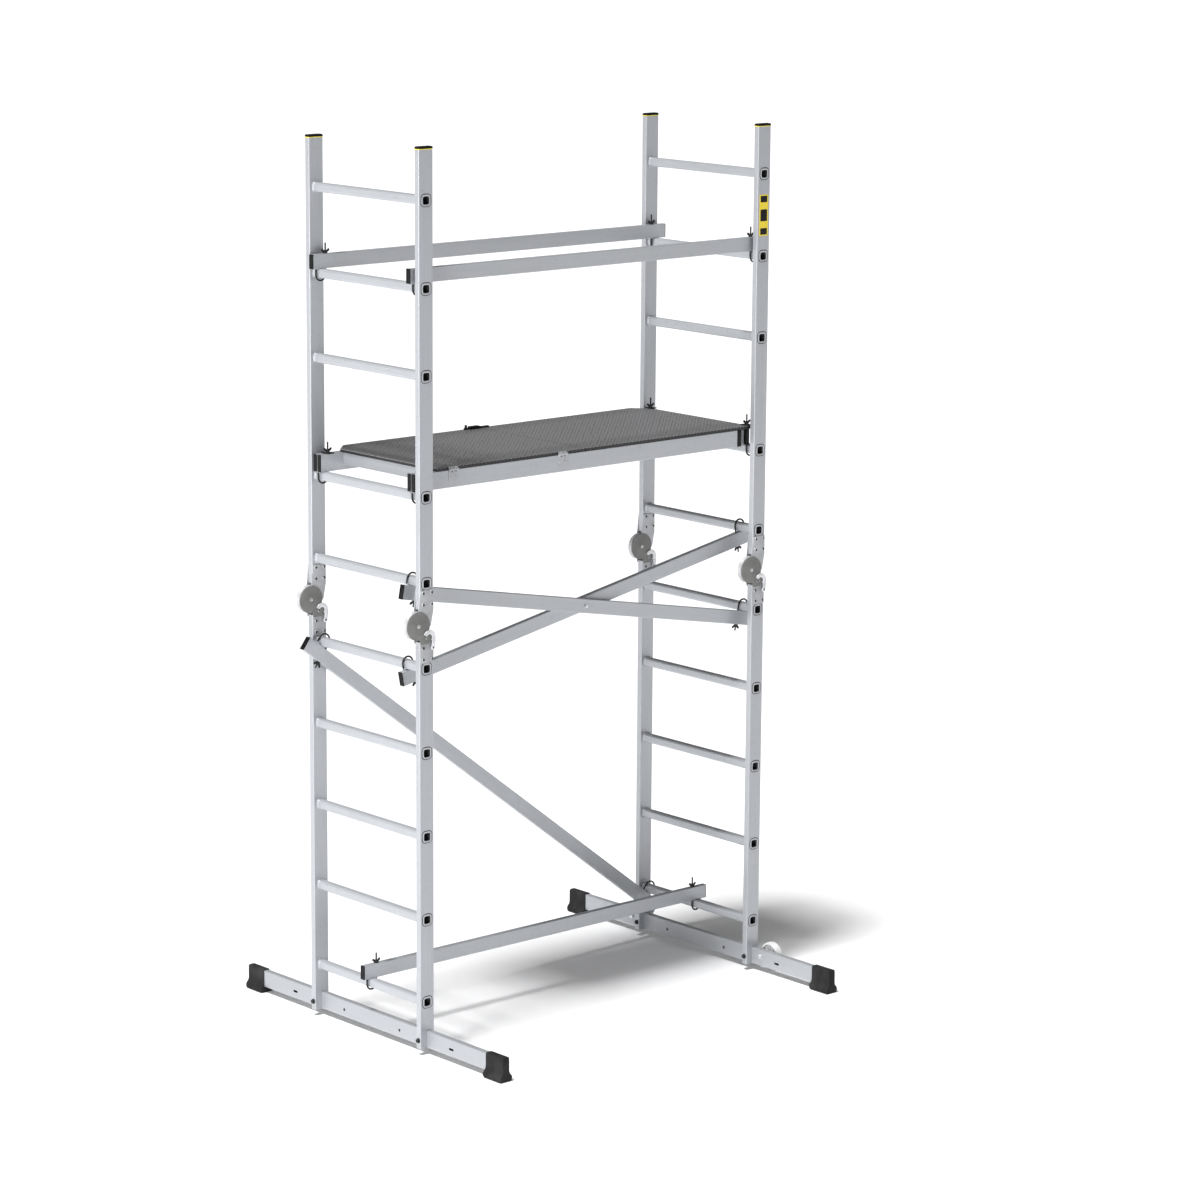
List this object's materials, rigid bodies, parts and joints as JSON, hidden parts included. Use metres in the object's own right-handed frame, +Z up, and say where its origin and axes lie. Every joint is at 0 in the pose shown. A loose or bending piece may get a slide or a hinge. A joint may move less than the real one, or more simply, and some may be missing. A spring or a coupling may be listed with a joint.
{
  "type": "baker scaffold",
  "caption": "Folding ladder scaffold: two hinged ladder frames with base beams, cross braces, guard rails and a platform with a hatch",
  "frame": {"origin": "on the floor, in the middle of the scaffold's bounding box", "axes": "+X from the left ladder to the right ladder, +Y across a ladder from the near side to the far side, +Z up"},
  "size_m": [1.6495, 1.366, 2.9792],
  "materials": {
    "aluminium": "satin extruded",
    "hinge_steel": "zinc plated, matte",
    "cast_aluminium": "cast, matte",
    "bright_steel": "bright zinc",
    "lever_steel": "pressed, zinc plated",
    "rubber": "moulded, matte",
    "black_plastic": "moulded, fine grain",
    "black_steel": "black coated",
    "nylon": "moulded",
    "yellow_plastic": "moulded",
    "deck_board": "film faced plywood with a mesh pattern"
  },
  "bodies": {
    "scaffold": {"left_lower_near_stile": "aluminium", "left_lower_far_stile": "aluminium", "left_upper_near_stile": "aluminium", "left_upper_far_stile": "aluminium", "right_lower_near_stile": "aluminium", "right_lower_far_stile": "aluminium", "right_upper_near_stile": "aluminium", "right_upper_far_stile": "aluminium", "left_lower_rungs": "aluminium", "left_upper_rungs": "aluminium", "right_lower_rungs": "aluminium", "right_upper_rungs": "aluminium", "left_base_beam": "aluminium", "right_base_beam": "aluminium", "bottom_brace": "aluminium", "long_diagonal": "aluminium", "front_cross_brace": "aluminium", "rear_cross_brace": "aluminium", "near_guard_rail": "aluminium", "far_guard_rail": "aluminium", "near_platform_rails": "aluminium", "far_platform_rails": "aluminium", "platform_cross_bars": "aluminium", "upper_hinge_plates": "hinge_steel", "lower_hinge_plates": "hinge_steel", "hinge_drums": "cast_aluminium", "hinge_pins": "bright_steel", "lock_pins": "bright_steel", "hinge_rivets": "bright_steel", "lever_pivots": "bright_steel", "rubber_feet": "rubber", "stile_foot_plugs": "black_plastic", "base_bolts": "black_steel", "base_nuts": "black_steel", "wheel_bolts": "bright_steel", "wheel_spacers": "bright_steel", "wheel_nuts": "bright_steel", "stile_caps": "black_plastic", "cap_bands": "yellow_plastic", "cross_bolt": "bright_steel", "tube_end_plugs": "black_plastic", "brace_hook_bolts": "black_steel", "platform_hook_bolts": "black_steel", "wing_nuts": "black_steel", "washers": "black_steel", "rail_end_plugs": "black_plastic", "clamp_plates": "black_steel", "deck_panel": "deck_board", "deck_screws": "bright_steel", "hatch_hinge_leaves": "bright_steel"},
    "near_wheel": {"near_wheel": "nylon"},
    "far_wheel": {"far_wheel": "nylon"},
    "hatch": {"hatch_panel": "deck_board", "hatch_hinge_straps": "bright_steel", "latch_guide": "black_plastic"},
    "latch": {"latch_bolt": "black_steel"},
    "left_near_lever": {"left_near_lever": "lever_steel"},
    "left_far_lever": {"left_far_lever": "lever_steel"},
    "right_near_lever": {"right_near_lever": "lever_steel"},
    "right_far_lever": {"right_far_lever": "lever_steel"}
  },
  "joints": [
    {"name": "near_wheel_spin", "type": "hinge", "parent": "scaffold", "child": "near_wheel", "pos_m": [0.80025, -0.337, 0.056], "axis": [1, 0, 0], "continuous": true},
    {"name": "far_wheel_spin", "type": "hinge", "parent": "scaffold", "child": "far_wheel", "pos_m": [0.80025, 0.337, 0.056], "axis": [1, 0, 0], "continuous": true},
    {"name": "hatch_hinge", "type": "hinge", "parent": "scaffold", "child": "hatch", "pos_m": [-0.34675, -0.2685, 1.9343], "axis": [1, 0, 0], "range_deg": [0, 95]},
    {"name": "latch_slide", "type": "slide", "parent": "hatch", "child": "latch", "axis": [1, 0, 0], "range_m": [-0.04, 0]},
    {"name": "left_near_lever_pivot", "type": "hinge", "parent": "scaffold", "child": "left_near_lever", "pos_m": [-0.71325, -0.3013, 1.368], "axis": [0, 1, 0], "range_deg": [0, 20], "stiffness_Nm_per_rad": 0.4, "springref_deg": -11.46},
    {"name": "left_far_lever_pivot", "type": "hinge", "parent": "scaffold", "child": "left_far_lever", "pos_m": [-0.71325, 0.2627, 1.368], "axis": [0, 1, 0], "range_deg": [0, 20], "stiffness_Nm_per_rad": 0.4, "springref_deg": -11.46},
    {"name": "right_near_lever_pivot", "type": "hinge", "parent": "scaffold", "child": "right_near_lever", "pos_m": [0.76675, -0.3013, 1.368], "axis": [0, 1, 0], "range_deg": [0, 20], "stiffness_Nm_per_rad": 0.4, "springref_deg": -11.46},
    {"name": "right_far_lever_pivot", "type": "hinge", "parent": "scaffold", "child": "right_far_lever", "pos_m": [0.76675, 0.2627, 1.368], "axis": [0, 1, 0], "range_deg": [0, 20], "stiffness_Nm_per_rad": 0.4, "springref_deg": -11.46}
  ]
}
